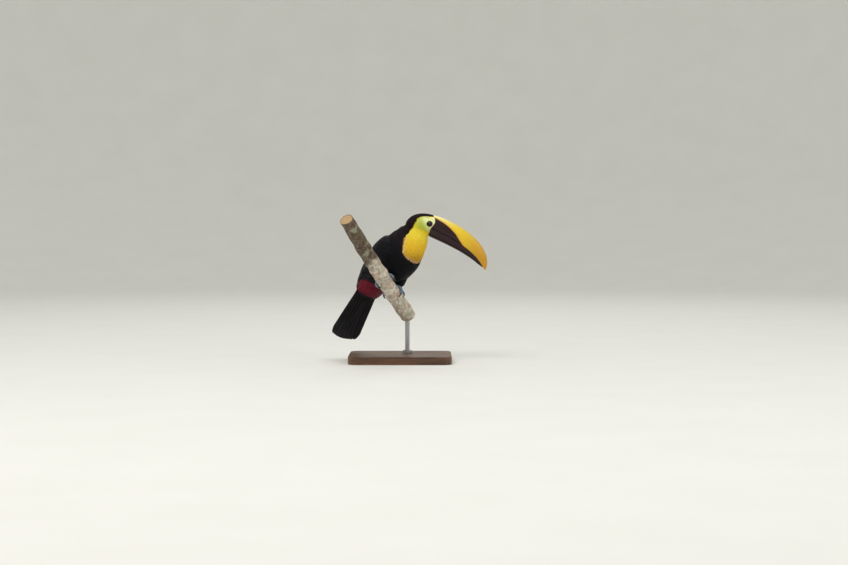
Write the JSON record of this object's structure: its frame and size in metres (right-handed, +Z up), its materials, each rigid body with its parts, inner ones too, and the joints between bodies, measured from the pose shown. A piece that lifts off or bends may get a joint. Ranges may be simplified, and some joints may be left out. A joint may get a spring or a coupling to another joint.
{
  "type": "toucan model on a display stand",
  "caption": "Life-size still model of a yellow-throated toucan gripping a sloping branch, carried by a rod on a flat base.",
  "frame": {"origin": "centre of the base's underside, on the floor", "axes": "+Z up; a viewer in front looks along +Y and sees the bill point to +X"},
  "size_m": [0.3505, 0.335, 0.334],
  "materials": {
    "feathers_black": "black contour feathers with a soft blue and maroon sheen",
    "bill_yellow": "smooth horn, yellow along the top and chestnut-black on the sides",
    "bill_dark": "smooth chestnut-black horn",
    "eye": "wet dark brown eye",
    "foot_skin": "scaly blue-grey skin",
    "claw": "dark horn",
    "bark": "pale grey-brown bark with lichen",
    "base_wood": "satin-varnished hardwood",
    "rod_steel": "satin steel"
  },
  "bodies": {
    "root": {"head": "feathers_black", "neck": "feathers_black", "trunk": "feathers_black", "rump": "feathers_black", "tail": "feathers_black", "wing_left": "feathers_black", "wing_right": "feathers_black", "thigh_left": "feathers_black", "thigh_right": "feathers_black", "bill_upper": "bill_yellow", "bill_lower": "bill_dark", "eye_left": "eye", "eye_right": "eye", "tarsus_left": "foot_skin", "tarsus_right": "foot_skin", "toe_1_left": "foot_skin", "toe_2_left": "foot_skin", "toe_3_left": "foot_skin", "toe_4_left": "foot_skin", "toe_1_right": "foot_skin", "toe_2_right": "foot_skin", "toe_3_right": "foot_skin", "toe_4_right": "foot_skin", "claw_1_left": "claw", "claw_2_left": "claw", "claw_3_left": "claw", "claw_4_left": "claw", "claw_1_right": "claw", "claw_2_right": "claw", "claw_3_right": "claw", "claw_4_right": "claw", "perch_branch": "bark", "stand_base": "base_wood", "stand_rod": "rod_steel", "stand_collar": "rod_steel"}
  },
  "joints": []
}
